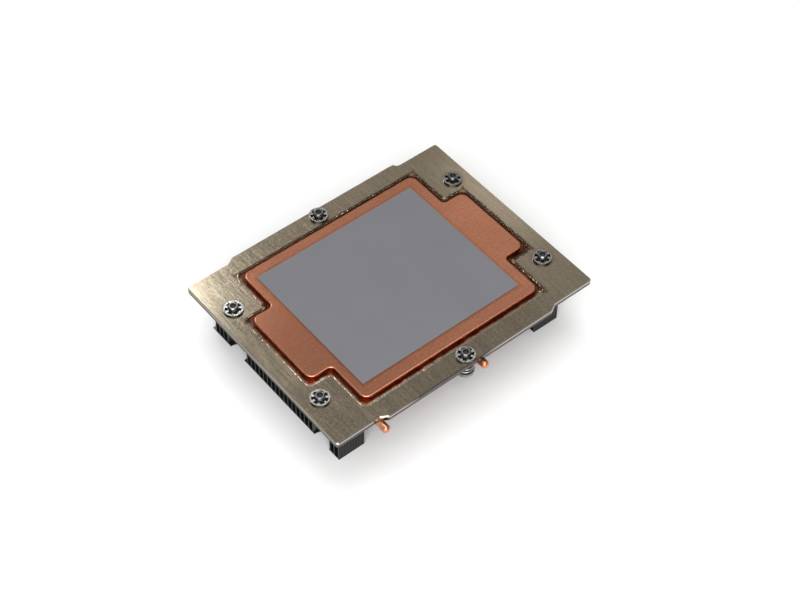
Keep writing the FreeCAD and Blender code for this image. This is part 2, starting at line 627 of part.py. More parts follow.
z0, z1 = ev("Sizes.head_low+Sizes.head_high") + 0.02, ev(plate_low) - 0.02
pts = coil_path(z0, z1)
line = Part.BSplineCurve()
line.interpolate(pts)
section = Part.Wire(Part.makeCircle(S["wire_dia"] / 2, pts[0], line.tangent(line.FirstParameter)[0]))
coil = Part.Wire(line.toShape()).makePipeShell([section], True, True)
if coil.ShapeType != "Solid":
    coil = Part.makeSolid(coil)
coil = coil.common(Part.makeCylinder(S["coil_rad"] + 2, z1 - z0, V(0, 0, z0))).Solids[0]
for n, (ex, ey, turn) in enumerate(SCREWS, 1):
    name = "screw_spring_%d" % n
    feat = doc.addObject("Part::Feature", name)
    feat.Label = name
    feat.Shape = coil.copy()
    feat.Placement = FreeCAD.Placement(V(0 if ex is None else ev(ex), ev(ey), 0), FreeCAD.Rotation(V(0, 0, 1), turn))
    parts.append((feat, name))

# ---------------------------------------------------------------- checks and export
doc.recompute()
bad = []
for o in doc.Objects:
    state = " ".join(o.State)
    if "Invalid" in state or "Error" in state:
        bad.append("%s: %s" % (o.Label, state))
for o, name in parts:
    s = o.Shape
    if s.isNull() or not s.isValid():
        bad.append("%s: shape null or not valid" % name)
    elif len(s.Solids) != 1:
        bad.append("%s: %d solids" % (name, len(s.Solids)))
for what, cut, want in CUTS:
    if cut <= 1e-3:
        bad.append("%s: cuts nothing" % what)
    if want is not None and abs(cut - want) > 0.01 * want:
        bad.append("%s: cuts %.2f, not %.2f" % (what, cut, want))
if bad:
    raise SystemExit("the model has faults:\n" + "\n".join(bad))

os.makedirs("parts", exist_ok=True)
for f in os.listdir("parts"):
    if f.endswith(".step"):
        os.remove(os.path.join("parts", f))
for o, name in parts:
    o.Shape.exportStep(os.path.join("parts", name + ".step"))
print("%d parts written" % len(parts))
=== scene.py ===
"""Looks of the passive heatsink: finishes, screw threads, solder seam, springs, floor, light and camera."""
import math

import bpy
import bmesh
from mathutils import Matrix, Vector, noise


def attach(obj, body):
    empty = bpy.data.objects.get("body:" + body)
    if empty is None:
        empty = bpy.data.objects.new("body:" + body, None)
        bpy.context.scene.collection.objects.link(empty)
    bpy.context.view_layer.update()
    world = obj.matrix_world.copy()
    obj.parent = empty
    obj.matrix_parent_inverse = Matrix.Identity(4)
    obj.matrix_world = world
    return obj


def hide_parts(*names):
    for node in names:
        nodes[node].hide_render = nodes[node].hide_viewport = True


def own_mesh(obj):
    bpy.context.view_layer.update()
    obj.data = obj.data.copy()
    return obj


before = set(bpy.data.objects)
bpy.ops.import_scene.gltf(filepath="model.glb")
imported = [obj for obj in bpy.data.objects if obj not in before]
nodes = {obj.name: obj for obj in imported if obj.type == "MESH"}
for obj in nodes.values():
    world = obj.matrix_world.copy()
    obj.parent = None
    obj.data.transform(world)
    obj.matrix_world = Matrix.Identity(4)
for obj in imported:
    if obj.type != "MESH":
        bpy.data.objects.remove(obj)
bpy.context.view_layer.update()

MM = 0.001


# ---------------------------------------------------------------------------------------------
# material helper: every texture works in millimetres of the part's own frame
# ---------------------------------------------------------------------------------------------
class Mat:
    def __init__(self, name):
        self.m = bpy.data.materials.new(name)
        self.m.use_nodes = True
        self.t = self.m.node_tree
        self.t.nodes.clear()
        self.out = self.t.nodes.new("ShaderNodeOutputMaterial")
        self.b = self.t.nodes.new("ShaderNodeBsdfPrincipled")
        self.t.links.new(self.b.outputs[0], self.out.inputs["Surface"])
        co = self.t.nodes.new("ShaderNodeTexCoord")
        s = self.t.nodes.new("ShaderNodeVectorMath")
        s.operation = "SCALE"
        s.inputs["Scale"].default_value = 1000.0
        self.t.links.new(co.outputs["Object"], s.inputs[0])
        self.p = s.outputs[0]
        sep = self.t.nodes.new("ShaderNodeSeparateXYZ")
        self.t.links.new(self.p, sep.inputs[0])
        self.x, self.y, self.z = sep.outputs
        g = self.t.nodes.new("ShaderNodeNewGeometry")
        n = self.t.nodes.new("ShaderNodeSeparateXYZ")
        self.t.links.new(g.outputs["Normal"], n.inputs[0])
        self.nx, self.ny, self.nz = n.outputs
        self.pointiness = g.outputs["Pointiness"]

    def _in(self, node, i, v):
        s = node.inputs[i]
        if isinstance(v, bpy.types.NodeSocket):
            self.t.links.new(v, s)
        elif v is not None:
            if s.type == "RGBA" and len(v) == 3:
                v = (*v, 1.0)
            s.default_value = v

    def set(self, **kw):
        for k, v in kw.items():
            self._in(self.b, k.replace("_", " "), v)
        return self

    def noise(self, scale, stretch=(1, 1, 1), detail=3.0, rough=0.55, distort=0.0, offset=(0, 0, 0)):
        mp = self.t.nodes.new("ShaderNodeMapping")
        mp.inputs["Scale"].default_value = stretch
        mp.inputs["Location"].default_value = offset
        self.t.links.new(self.p, mp.inputs["Vector"])
        nz = self.t.nodes.new("ShaderNodeTexNoise")
        nz.inputs["Scale"].default_value = scale
        nz.inputs["Detail"].default_value = detail
        nz.inputs["Roughness"].default_value = rough
        nz.inputs["Distortion"].default_value = distort
        self.t.links.new(mp.outputs[0], nz.inputs["Vector"])
        return nz.outputs[0]

    def voronoi(self, scale, stretch=(1, 1, 1)):
        mp = self.t.nodes.new("ShaderNodeMapping")
        mp.inputs["Scale"].default_value = stretch
        self.t.links.new(self.p, mp.inputs["Vector"])
        v = self.t.nodes.new("ShaderNodeTexVoronoi")
        v.inputs["Scale"].default_value = scale
        self.t.links.new(mp.outputs[0], v.inputs["Vector"])
        return v.outputs["Distance"]

    def remap(self, v, a, b, c=0.0, d=1.0, smooth=False):
        n = self.t.nodes.new("ShaderNodeMapRange")
        n.interpolation_type = "SMOOTHSTEP" if smooth else "LINEAR"
        self._in(n, 0, v)
        for i, k in enumerate((a, b, c, d)):
            n.inputs[i + 1].default_value = k
        return n.outputs[0]

    def math(self, op, a, b=None, clamp=False):
        n = self.t.nodes.new("ShaderNodeMath")
        n.operation = op
        n.use_clamp = clamp
        self._in(n, 0, a)
        if b is not None:
            self._in(n, 1, b)
        return n.outputs[0]

    def mix(self, f, a, b, mode="MIX"):
        n = self.t.nodes.new("ShaderNodeMix")
        n.data_type = "RGBA"
        n.blend_type = mode
        self._in(n, 0, f)
        for i, v in ((6, a), (7, b)):
            if isinstance(v, bpy.types.NodeSocket):
                self.t.links.new(v, n.inputs[i])
            else:
                n.inputs[i].default_value = (*v, 1.0)
        return n.outputs[2]

    def scale(self, c, f):
        """A colour times a number."""
        return self.mix(1.0, c, f, "MULTIPLY")

    def far_side(self):
        """1 beside the +X and +Y sides of the opening, 0 beside the others."""
        tab = self.math("MULTIPLY", self.remap(self.y, 16.5, 18.0), self.remap(self.y, 22.0, 21.0))
        tab = self.math("MULTIPLY", tab, self.remap(self.math("ABSOLUTE", self.x), 40.0, 41.5))
        edge = self.math("MAXIMUM", self.remap(self.y, 36.0, 37.5), self.remap(self.x, 39.8, 41.2))
        return self.math("MAXIMUM", edge, tab)

    def beyond_opening(self):
        """Distance in mm outward from the outline of the opening, negative inside it."""
        ax, ay = self.math("ABSOLUTE", self.x), self.math("ABSOLUTE", self.y)
        d1 = self.math("MAXIMUM", self.math("SUBTRACT", ax, 42.3), self.math("SUBTRACT", ay, 38.65))
        d2 = self.math("MAXIMUM", self.math("SUBTRACT", ax, 51.85), self.math("SUBTRACT", ay, 19.7))
        return self.math("MINIMUM", d1, d2)

    def bump(self, h, strength, dist):
        n = self.t.nodes.new("ShaderNodeBump")
        n.inputs["Strength"].default_value = strength
        n.inputs["Distance"].default_value = dist
        self._in(n, "Height", h)
        self.t.links.new(n.outputs[0], self.b.inputs["Normal"])
        return self


def plate_colour(m):
    """The satin nickel of the plate, also under the solder beside the opening, with painted light and shade across it.
    """
    broad = m.remap(m.noise(0.035, detail=4.0, rough=0.6), 0.30, 0.70)
    patch = m.remap(m.noise(0.13, offset=(31, 7, 3), detail=4.0, rough=0.65), 0.35, 0.66)
    hue = m.remap(m.noise(0.22, offset=(3, 44, 6), detail=3.0, rough=0.6), 0.36, 0.62)
    grain = m.remap(m.noise(0.95, offset=(9, 2, 5), detail=3.0, rough=0.8), 0.34, 0.66)
    streak = m.remap(m.noise(1.0, stretch=(1.15, 0.09, 1.0), detail=5.0, rough=0.75), 0.34, 0.66)
    c = m.mix(broad, (0.410, 0.330, 0.235), (0.475, 0.390, 0.283))
    c = m.mix(m.math("MULTIPLY", hue, 0.60), c, m.mix(patch, (0.455, 0.360, 0.280), (0.395, 0.375, 0.265)))
    c = m.scale(c, m.remap(grain, 0.0, 1.0, 0.88, 1.11))
    c = m.scale(c, m.remap(streak, 0.0, 1.0, 0.88, 1.09))
    # painted shade: the near long edge and the -X end are darker
    g = m.math("ADD", m.remap(m.y, -36.0, 36.0, 0.74, 1.08, True), m.remap(m.x, 18.0, 54.0, 0.0, 0.20, True))
    g = m.math("MINIMUM", g, 1.08)
    # painted highlight: a sheen near the +X end, away from both long edges
    painted_sheen = m.math("MULTIPLY", m.remap(m.x, 44.0, 56.0, 0.0, 1.0, True), m.math("MULTIPLY", m.remap(m.y, -24.0, 6.0, 0.0, 1.0, True), m.remap(m.y, 42.0, 22.0, 0.0, 1.0, True)))
    # painted shade: a darker strip along the -X end
    painted_shade_strip = m.math("MULTIPLY", m.remap(m.x, -49.0, -52.0, 0.0, 1.0, True), m.math("MULTIPLY", m.remap(m.y, -14.0, 8.0, 0.0, 1.0, True), m.remap(m.y, 36.0, 25.0, 0.0, 1.0, True)))
    # painted light: a lighter patch at the -X end towards the near long edge
    painted_light_near_edge = m.math("MULTIPLY", m.remap(m.x, -44.0, -49.0, 0.0, 1.0, True), m.math("MULTIPLY", m.remap(m.y, -38.0, -32.0, 0.0, 1.0, True), m.remap(m.y, -6.0, -16.0, 0.0, 1.0, True)))
    g = m.math("SUBTRACT", m.math("ADD", g, m.math("MULTIPLY", painted_sheen, 0.45)), m.math("MULTIPLY", painted_shade_strip, 0.27))
    # painted light: a lighter patch at the -X end round the middle
    painted_light_middle = m.math("MULTIPLY", m.remap(m.x, -43.0, -48.0, 0.0, 1.0, True), m.math("MULTIPLY", m.remap(m.y, -20.0, -8.0, 0.0, 1.0, True), m.remap(m.y, 12.0, 0.0, 0.0, 1.0, True)))
    g = m.math("ADD", g, m.math("ADD", m.math("MULTIPLY", painted_light_near_edge, 0.10), m.math("MULTIPLY", painted_light_middle, 0.18)))
    return m.scale(c, g), grain, streak


def plate_material():
    m = Mat("plate_satin")
    c, grain, streak = plate_colour(m)
    ax, ay = m.math("ABSOLUTE", m.x), m.math("ABSOLUTE", m.y)
    # flux and heat stain along the opening, with painted shadow of the raised copper widening it along its +X and +Y
    # sides; painted shade on its wall
    rag = m.remap(m.noise(0.55, offset=(13, 5, 1), detail=4.0, rough=0.7), 0.30, 0.70, -0.55, 0.75)
    d = m.math("SUBTRACT", m.beyond_opening(), rag)
    far = m.far_side()
    stain_and_painted_shadow = m.math("MULTIPLY", m.remap(d, 0.95, 0.10, 0.0, 1.0, True), m.remap(far, 0.0, 1.0, 0.22, 0.86))
    c = m.mix(stain_and_painted_shadow, c, (0.090, 0.052, 0.030))
    painted_wall_shade = m.math("MULTIPLY", m.remap(m.beyond_opening(), 0.4, 0.2), m.remap(m.z, 25.46, 25.30))
    c = m.mix(m.math("MULTIPLY", painted_wall_shade, 0.93), c, (0.050, 0.020, 0.010))
    # sheared short ends: painted highlight along the top, painted shade below; the long edges get a painted highlight
    # too
    flank = m.math("MULTIPLY", m.remap(m.math("ABSOLUTE", m.nx), 0.45, 0.80), m.remap(ax, 58.0, 58.6))
    c = m.mix(m.math("MULTIPLY", flank, m.remap(m.z, 25.00, 24.60, 0.0, 0.93)), c, (0.045, 0.043, 0.037))
    c = m.mix(m.math("MULTIPLY", flank, m.remap(m.z, 24.75, 25.00, 0.0, 0.75)), c, (0.640, 0.620, 0.520))
    # the long edges: painted highlight, painted shade on their lower part and over x from -24 to 4
    edge = m.math("MULTIPLY", m.remap(m.math("ABSOLUTE", m.ny), 0.45, 0.80), m.remap(ay, 44.0, 44.6))
    shade = m.math("MULTIPLY", m.remap(m.x, -30.0, -24.0), m.remap(m.x, 12.0, 4.0))
    shade = m.math("MAXIMUM", shade, m.remap(m.z, 24.75, 24.45, 0.0, 1.0))
    c = m.mix(m.math("MULTIPLY", edge, 0.70), c, (0.620, 0.575, 0.545))
    c = m.mix(m.math("MULTIPLY", edge, m.math("MULTIPLY", shade, 0.92)), c, (0.060, 0.052, 0.048))
    # grime and painted contact shade round the screw holes, darkest under the clips
    far_hole = m.math("SQRT", m.math("ADD", m.math("POWER", m.math("SUBTRACT", ax, 51.7), 2.0), m.math("POWER", m.math("SUBTRACT", ay, 25.8), 2.0)))
    mid_hole = m.math("SQRT", m.math("ADD", m.math("POWER", ax, 2.0), m.math("POWER", m.math("SUBTRACT", ay, 43.0), 2.0)))
    hole = m.math("MINIMUM", far_hole, mid_hole)
    grime_and_contact_shade = m.math("ADD", m.remap(hole, 3.3, 2.9, 0.0, 0.95), m.math("MULTIPLY", m.remap(hole, 5.2, 3.7, 0.0, 0.60), grain), clamp=True)
    c = m.mix(grime_and_contact_shade, c, (0.030, 0.026, 0.022))
    rough = m.remap(streak, 0.0, 1.0, 0.10, 0.15)
    rough = m.math("ADD", rough, m.math("MULTIPLY", grain, 0.04))
    rough = m.math("ADD", rough, m.math("MULTIPLY", m.math("MAXIMUM", m.math("MAXIMUM", flank, stain_and_painted_shadow), grime_and_contact_shade), 0.22))
    m.set(Base_Color=c, Metallic=1.0, Roughness=rough)
    m.bump(m.math("ADD", streak, m.math("MULTIPLY", grain, 0.8)), 0.06, 0.00003)
    return m.m


def copper_material():
    m = Mat("copper_satin")
    broad = m.remap(m.noise(0.045, detail=4.0, rough=0.6), 0.30, 0.70)
    mott = m.remap(m.noise(0.38, offset=(5, 17, 0), detail=4.0, rough=0.7), 0.35, 0.66)
    fine = m.remap(m.noise(1.05, offset=(8, 1, 0), detail=3.0, rough=0.8), 0.34, 0.66)
    grain = m.noise(1.0, stretch=(0.12, 1.4, 1.4), detail=5.0, rough=0.7)
    top = m.mix(broad, (0.770, 0.290, 0.160), (0.850, 0.355, 0.210))
    top = m.mix(m.math("MULTIPLY", mott, 0.55), top, (0.650, 0.315, 0.210))
    top = m.scale(top, m.remap(fine, 0.0, 1.0, 0.84, 1.14))
    top = m.mix(m.remap(grain, 0.40, 0.64, 0.0, 0.32), top, (0.560, 0.205, 0.105))
    # a deeper orange fringe beside the pad
    ax, ay = m.math("ABSOLUTE", m.math("ADD", m.x, 0.6)), m.math("ABSOLUTE", m.math("SUBTRACT", m.y, 0.5))
    pad = m.math("MAXIMUM", m.math("SUBTRACT", ax, 36.1), m.math("SUBTRACT", ay, 31.4))
    fringe = m.remap(m.math("ADD", pad, m.math("MULTIPLY", fine, 0.5)), 1.9, 0.3, 0.0, 0.62, True)
    top = m.mix(fringe, top, (0.560, 0.190, 0.080))
    # painted light: the copper lighter towards +X and +Y, darker towards -X
    g = m.math("ADD", m.remap(m.x, -46.0, 6.0, 0.82, 1.04, True), m.remap(m.y, -20.0, 36.0, 0.0, 0.12, True))
    top = m.scale(top, m.math("MINIMUM", g, 1.10))
    # painted shade: the side of the block dark red-brown
    painted_shade_side = m.math("MULTIPLY", m.remap(m.z, 26.50, 26.28), m.remap(m.nz, 0.65, 0.35))
    painted_wall_shade = m.mix(mott, (0.420, 0.055, 0.016), (0.520, 0.100, 0.035))
    c = m.mix(painted_shade_side, top, painted_wall_shade)
    # the low step round the block: flux brown with painted shade, copper showing in patches
    step = m.math("MULTIPLY", m.remap(m.z, 24.80, 24.72), m.remap(m.nz, 0.2, 0.6))
    blot = m.remap(m.noise(0.42, offset=(2, 2, 40), detail=5.0, rough=0.7), 0.50, 0.62)
    low = m.mix(m.math("MULTIPLY", blot, 0.45), (0.075, 0.030, 0.014), (0.330, 0.110, 0.050))
    c = m.mix(step, c, low)
    rough = m.remap(grain, 0.30, 0.70, 0.11, 0.16)
    rough = m.math("ADD", rough, m.math("MULTIPLY", m.math("MAXIMUM", painted_shade_side, step), 0.20))
    m.set(Base_Color=c, Metallic=1.0, Roughness=rough)
    m.bump(m.math("ADD", grain, m.math("MULTIPLY", m.math("MULTIPLY", step, mott), 8.0)), 0.06, 0.00004)
    return m.m


def pad_material():
    m = Mat("pad_grey")
    broad = m.remap(m.noise(0.06, detail=3.0), 0.30, 0.70)
    fine = m.noise(2.2, detail=4.0, rough=0.6)
    c = m.mix(broad, (0.147, 0.145, 0.157), (0.157, 0.155, 0.168))
    c = m.mix(m.remap(fine, 0.35, 0.65, 0.0, 0.22), c, (0.126, 0.128, 0.137))
    m.set(Base_Color=c, Metallic=0.0, Roughness=m.remap(fine, 0.3, 0.7, 0.62, 0.80), Specular_IOR_Level=0.25)
    m.bump(fine, 0.12, 0.00003)
    return m.m


def pipe_material():
    m = Mat("pipe_copper_sintered")
    mott = m.remap(m.noise(0.5, detail=5.0, rough=0.7), 0.32, 0.70)
    draw = m.noise(1.0, stretch=(5.0, 0.10, 5.0), detail=4.0, rough=0.6)
    c = m.mix(mott, (0.720, 0.330, 0.190), (0.560, 0.215, 0.115))
    c = m.mix(m.remap(draw, 0.42, 0.66, 0.0, 0.4), c, (0.400, 0.150, 0.080))
    # painted highlight: cream on the shoulder of the closed ends
    ends = m.math("MULTIPLY", m.remap(m.math("ABSOLUTE", m.y), 42.6, 43.4), m.remap(m.math("ABSOLUTE", m.y), 46.2, 45.4))
    c = m.mix(m.math("MULTIPLY", ends, m.remap(mott, 0.1, 0.9, 0.4, 0.9)), c, (0.600, 0.460, 0.290))
    m.set(Base_Color=c, Metallic=1.0, Roughness=m.math("ADD", m.remap(mott, 0, 1, 0.26, 0.38), m.math("MULTIPLY", ends, 0.22)))
    m.bump(m.math("ADD", draw, m.math("MULTIPLY", mott, 0.5)), 0.15, 0.00003)
    return m.m


def fin_material():
    m = Mat("fin_aluminium")
    broad = m.remap(m.noise(0.07, detail=4.0, rough=0.6), 0.30, 0.70)
    roll = m.noise(1.0, stretch=(0.05, 3.0, 3.0), detail=5.0, rough=0.65)
    # painted shade: the aluminium is darkened overall to a deep grey
    c = m.mix(broad, (0.120, 0.121, 0.117), (0.175, 0.176, 0.171))
    c = m.mix(m.remap(roll, 0.40, 0.64, 0.0, 0.40), c, (0.060, 0.061, 0.061))
    # the outermost webs carry fine stamped ribs across their length; painted shade turns the webs near black, striped
    # with the ribs
    painted_shade_web = m.math("MULTIPLY", m.remap(m.math("ABSOLUTE", m.ny), 0.7, 0.9), m.remap(m.y, -35.4, -35.7))
    rib = m.math("SINE", m.math("MULTIPLY", m.x, 2 * math.pi / 1.27))
    painted_shade_web = m.math("MULTIPLY", painted_shade_web, m.remap(rib, -0.3, 0.3, 0.78, 0.97))
    c = m.mix(painted_shade_web, c, (0.018, 0.017, 0.017))
    # the flanges that close the underside: lighter than the shade-painted sides, with a dark joint between neighbours
    under = m.remap(m.nz, -0.7, -0.9)
    f = m.math("FRACT", m.math("DIVIDE", m.math("ADD", m.y, 35.9), 2.5))
    joint = m.remap(m.math("MINIMUM", f, m.math("SUBTRACT", 1.0, f)), 0.075, 0.030)
    scuff = m.remap(m.noise(0.6, stretch=(0.25, 1.0, 1.0), detail=5.0, rough=0.75, offset=(5, 5, 5)), 0.42, 0.66)
    c = m.mix(m.math("MULTIPLY", under, 0.55), c, m.mix(scuff, (0.300, 0.302, 0.295), (0.420, 0.422, 0.412)))
    c = m.mix(m.math("MULTIPLY", under, joint), c, (0.012, 0.012, 0.012))
    # painted shade: the cut ends near black
    painted_shade_ends = m.math("MULTIPLY", m.remap(m.math("ABSOLUTE", m.nx), 0.7, 0.9), m.remap(m.math("ABSOLUTE", m.x), 51.6, 51.9))
    c = m.mix(m.math("MULTIPLY", painted_shade_ends, 0.75), c, (0.035, 0.035, 0.033))
    m.set(Base_Color=c, Metallic=1.0, Roughness=m.remap(roll, 0.3, 0.7, 0.30, 0.44))
    m.bump(m.math("ADD", roll, m.math("MULTIPLY", m.math("MULTIPLY", rib, painted_shade_web), 2.0)), 0.10, 0.00003)
    return m.m


def screw_material():
    m = Mat("screw_black_oxide")
    mott = m.remap(m.noise(0.9, detail=4.0, rough=0.6), 0.30, 0.70)
    turn = m.noise(1.0, stretch=(0.5, 0.5, 14.0), detail=3.0)
    c = m.mix(mott, (0.075, 0.072, 0.070), (0.040, 0.038, 0.038))
    # rubbed bright along edges and thread crests, wear with a painted highlight
    worn_and_highlight = m.remap(m.pointiness, 0.53, 0.60)
    c = m.mix(m.math("MULTIPLY", worn_and_highlight, m.remap(mott, 0.0, 1.0, 0.9, 0.5)), c, (0.560, 0.550, 0.530))
    m.set(Base_Color=c, Metallic=1.0, Roughness=m.remap(turn, 0.3, 0.7, 0.20, 0.34))
    m.bump(turn, 0.10, 0.00002)
    return m.m


def recess_shade_material():
    m = Mat("screw_recess_painted_shade")
    mott = m.remap(m.noise(1.5, detail=4.0), 0.30, 0.70)
    # painted shade: near black for the screws' bore, head recess and shoulder
    m.set(Base_Color=m.mix(mott, (0.010, 0.010, 0.010), (0.022, 0.020, 0.019)), Metallic=0.0, Roughness=m.remap(mott, 0, 1, 0.55, 0.75))
    m.bump(mott, 0.1, 0.00002)
    return m.m


def clip_material():
    m = Mat("clip_zinc")
    mott = m.remap(m.noise(1.3, detail=4.0, rough=0.6), 0.30, 0.70)
    big = m.remap(m.noise(0.50, offset=(4, 4, 4), detail=2.0), 0.40, 0.60)
    c = m.mix(mott, (0.700, 0.685, 0.645), (0.480, 0.465, 0.435))
    c = m.mix(m.math("MULTIPLY", big, 0.42), c, (0.130, 0.125, 0.118))
    ax, ay = m.math("ABSOLUTE", m.x), m.math("ABSOLUTE", m.y)
    a = m.math("SQRT", m.math("ADD", m.math("POWER", m.math("SUBTRACT", ax, 51.7), 2.0), m.math("POWER", m.math("SUBTRACT", ay, 25.8), 2.0)))
    b = m.math("SQRT", m.math("ADD", m.math("POWER", ax, 2.0), m.math("POWER", m.math("SUBTRACT", ay, 43.0), 2.0)))
    # painted shade: darker outer rim of the ring
    painted_shade_rim = m.remap(m.math("MINIMUM", a, b), 3.25, 3.45)
    c = m.mix(m.math("MULTIPLY", painted_shade_rim, 0.32), c, (0.085, 0.080, 0.075))
    # painted shade: the sides of the ring dark
    painted_shade_side = m.remap(m.nz, 0.75, 0.35)
    c = m.mix(m.math("MULTIPLY", painted_shade_side, 0.85), c, (0.045, 0.042, 0.040))
    m.set(Base_Color=c, Metallic=1.0, Roughness=m.remap(mott, 0, 1, 0.14, 0.26))
    m.bump(mott, 0.25, 0.00010)
    return m.m


def spring_material():
    m = Mat("spring_wire")
    mott = m.remap(m.noise(1.6, detail=4.0, rough=0.6), 0.30, 0.70)
    c = m.mix(mott, (0.520, 0.510, 0.490), (0.350, 0.340, 0.330))
    m.set(Base_Color=c, Metallic=1.0, Roughness=m.remap(mott, 0, 1, 0.20, 0.32))
    m.bump(mott, 0.10, 0.00002)
    return m.m


def solder_material():
    m = Mat("solder")
    mott = m.remap(m.noise(0.9, detail=5.0, rough=0.7), 0.32, 0.68)
    pink = m.remap(m.noise(0.30, offset=(7, 1, 2), detail=4.0, rough=0.7), 0.44, 0.58)
    c = m.mix(mott, (0.560, 0.480, 0.370), (0.400, 0.330, 0.245))
    c = m.mix(m.math("MULTIPLY", pink, 0.60), c, (0.560, 0.270, 0.170))
    m.set(Base_Color=c, Metallic=1.0, Roughness=m.remap(mott, 0, 1, 0.16, 0.30))
    m.bump(mott, 0.35, 0.00012)
    return m.m


def fillet_material():
    m = Mat("solder_fillet")
    c, grain, streak = plate_colour(m)
    mott = m.remap(m.noise(0.6, detail=5.0, rough=0.7), 0.32, 0.68)
    blot = m.remap(m.noise(0.35, offset=(7, 1, 2), detail=5.0, rough=0.7), 0.50, 0.62)
    # painted reflection of the copper: reddish blotches
    c = m.mix(m.math("MULTIPLY", blot, 0.45), c, (0.420, 0.180, 0.115))
    # painted shade: dark towards the fillet's foot beside the copper step
    c = m.mix(m.remap(m.z, 25.20, 24.95, 0.0, 0.80), c, (0.080, 0.032, 0.015))
    # painted shade: dark along the +X and +Y sides
    c = m.mix(m.math("MULTIPLY", m.far_side(), 0.90), c, (0.070, 0.032, 0.016))
    m.set(Base_Color=c, Metallic=1.0, Roughness=m.remap(mott, 0, 1, 0.20, 0.32))
    m.bump(mott, 0.15, 0.00006)
    return m.m


MATS = {
    "plate_metal": plate_material(),
    "copper": copper_material(),
    "pad_grey": pad_material(),
    "pipe_copper": pipe_material(),
    "fin_metal": fin_material(),
    "screw_steel": screw_material(),
    "clip_steel": clip_material(),
    "spring_steel": spring_material(),
    "solder": solder_material(),
    "fillet": fillet_material(),
    "bore_dark": recess_shade_material(),
}


def dress(obj, key):
    obj.data.materials.clear()
    obj.data.materials.append(MATS[key])
    return obj


for name, obj in nodes.items():
    if name == "frame_plate":
        dress(obj, "plate_metal")
    elif name == "copper_base":
        dress(obj, "copper")
    elif name == "thermal_pad":
        dress(obj, "pad_grey")
    elif name.startswith("heat_pipe"):
        dress(obj, "pipe_copper")
    elif name.startswith("fin_"):
        dress(obj, "fin_metal")
    elif name.startswith("captive_screw"):
        dress(obj, "screw_steel")
    elif name.startswith("retaining_clip"):
        dress(obj, "clip_steel")
    elif name.startswith("screw_spring"):
        dress(obj, "spring_steel")


def link(obj):
    bpy.context.scene.collection.objects.link(obj)
    return obj


# ---------------------------------------------------------------------------------------------
# screws with a real thread in place of the plain cylinder above the clip groove
# ---------------------------------------------------------------------------------------------
SCREWS = {1: (51.7, 25.8), 2: (0.0, 43.0), 3: (-51.7, 25.8), 4: (-51.7, -25.8), 5: (0.0, -43.0), 6: (51.7, -25.8)}
THREAD_LOW, THREAD_HIGH, THREAD_R, PITCH, DEPTH = 26.4, 27.4, 1.95, 0.7, 0.38


def thread(bm, cx, cy):
    """Triangular thread as a closed skin round the screw, run out at both ends."""
    around, up = 72, 30
    rings = []
    for j in range(up + 1):
        z = THREAD_LOW + (THREAD_HIGH - THREAD_LOW) * j / up
        ring = []
        for i in range(around):
            t = 2 * math.pi * i / around
            ph = ((z - THREAD_LOW) / PITCH - i / around) % 1.0
            tri = abs(2 * ph - 1)                      # 1 at the crest, 0 at the root
            tri = min(max((tri - 0.12) / 0.76, 0.0), 1.0)
            run = min(1.0, (THREAD_HIGH - z) / 0.22, (z - THREAD_LOW) / 0.12)
            r = THREAD_R - DEPTH * (1 - tri) * max(run, 0.0)
            ring.append(bm.verts.new(((cx + r * math.cos(t)) * MM, (cy + r * math.sin(t)) * MM, z * MM)))
        rings.append(ring)
    for a, b in zip(rings, rings[1:]):
        for i in range(around):
            k = (i + 1) % around
            bm.faces.new((a[i], a[k], b[k], b[i]))


def make_screw(n):
    src = nodes[f"captive_screw_{n}"]
    cx, cy = SCREWS[n]
    obj = bpy.data.objects.new(f"screw_threaded_{n}", src.data.copy())
    link(obj)
    bm = bmesh.new()
    bm.from_mesh(obj.data)
    gone = []
    for f in bm.faces:
        zs = [v.co.z / MM for v in f.verts]
        rs = [math.hypot(v.co.x / MM - cx, v.co.y / MM - cy) for v in f.verts]
        if min(zs) > THREAD_LOW - 0.02 and max(zs) < THREAD_HIGH + 0.02 and min(rs) > THREAD_R - 0.04 and max(zs) - min(zs) > 0.1:
            gone.append(f)
    bmesh.ops.delete(bm, geom=gone, context="FACES")
    thread(bm, cx, cy)
    bm.to_mesh(obj.data)
    bm.free()
    for p in obj.data.polygons:
        p.use_smooth = True
    obj.data.set_sharp_from_angle(angle=math.radians(35))
    dress(obj, "screw_steel")
    obj.data.materials.append(MATS["bore_dark"])
    # painted shade: the tip bore, the head recess and the shoulder under the clip take the near-black material
    for p in obj.data.polygons:
        x, y, z = p.center.x / MM - cx, p.center.y / MM - cy, p.center.z / MM
        r = math.hypot(x, y)
        if (z > 26.8 and r < 1.19) or (z < 17.75 and r < 2.0) or (25.3 < z < 26.38 and r < 2.3):
            p.material_index = 1
    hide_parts(f"captive_screw_{n}")
    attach(obj, f"screw_{n}")
    return len(gone)


def make_spring(n):
    src = nodes[f"screw_spring_{n}"]
    obj = bpy.data.objects.new(f"spring_coil_{n}", src.data.copy())
    link(obj)
    dress(obj, "spring_steel")
    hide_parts(f"screw_spring_{n}")
    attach(obj, "heatsink")
    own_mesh(obj)


for n in SCREWS:
    print("screw", n, "faces replaced", make_screw(n))
    make_spring(n)


# ---------------------------------------------------------------------------------------------
# solder seam between the copper step and the plate: an uneven bead along the opening's edge
# ---------------------------------------------------------------------------------------------
HX, HY, TX, TY = 42.3, 38.65, 51.85, 19.7     # outline of the low step
R_OUT, R_NOOK = 3.0, 1.8


